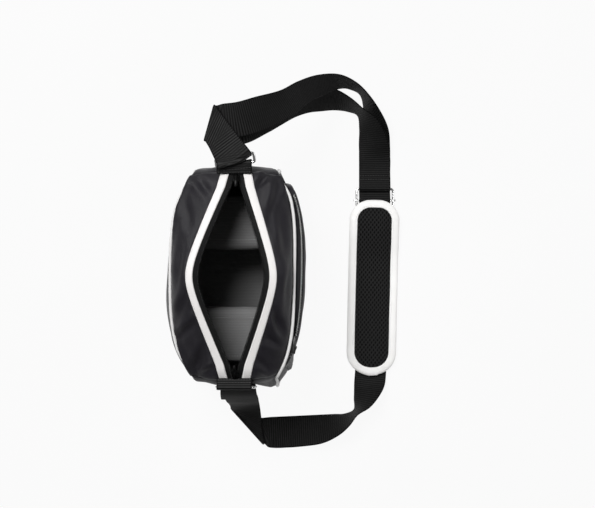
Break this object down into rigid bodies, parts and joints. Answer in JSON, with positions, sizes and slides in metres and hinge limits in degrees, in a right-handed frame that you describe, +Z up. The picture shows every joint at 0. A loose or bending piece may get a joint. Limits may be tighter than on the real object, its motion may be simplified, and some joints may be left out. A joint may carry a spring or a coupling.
{
  "type": "camera shoulder bag",
  "caption": "Soft upright camera shoulder bag with an open zip mouth, padded dividers inside, a front zip pocket and a webbing strap with a shoulder pad lying beside it.",
  "frame": {"origin": "middle of the bag's flat base, on the surface it stands on", "axes": "+Z up, +X along the bag's length towards the strap's doubled end, -Y out of the front pocket, towards the strap and pad"},
  "size_m": [0.4683, 0.2864, 0.1979],
  "materials": {
    "black_twill": "tight nylon twill with a faint sheen",
    "white_piping": "smooth covered cord",
    "white_tape": "smooth folded tape",
    "black_zip": "woven zip tape with a nylon coil",
    "dark_metal": "dark plated",
    "zip_metal": "satin plated",
    "grey_lining": "fine ribbed lining cloth",
    "black_webbing": "ribbed woven webbing",
    "bright_metal": "polished wire",
    "pad_mesh": "knitted spacer mesh",
    "white_binding": "smooth synthetic leather"
  },
  "bodies": {
    "root": {"base_gusset": "black_twill", "front_panel": "black_twill", "back_panel": "black_twill", "top_panel_front": "black_twill", "top_panel_back": "black_twill", "pocket_panel": "black_twill", "pocket_gusset": "black_twill", "front_piping": "white_piping", "back_piping": "white_piping", "zip_trim_front": "white_tape", "zip_trim_back": "white_tape", "zip_side_front": "black_zip", "zip_side_back": "black_zip", "zip_slider_north": "dark_metal", "zip_slider_south": "dark_metal", "pocket_zip": "zip_metal", "pocket_slider": "zip_metal", "lining": "grey_lining", "divider_north": "grey_lining", "divider_south": "grey_lining", "tab_north": "black_webbing", "tab_south": "black_webbing", "strap_long": "black_webbing", "strap_return": "black_webbing", "ring_north": "bright_metal", "ring_south": "bright_metal", "buckle_frame": "bright_metal", "buckle_bar": "bright_metal", "pad_body": "pad_mesh", "pad_binding": "white_binding"}
  },
  "joints": []
}
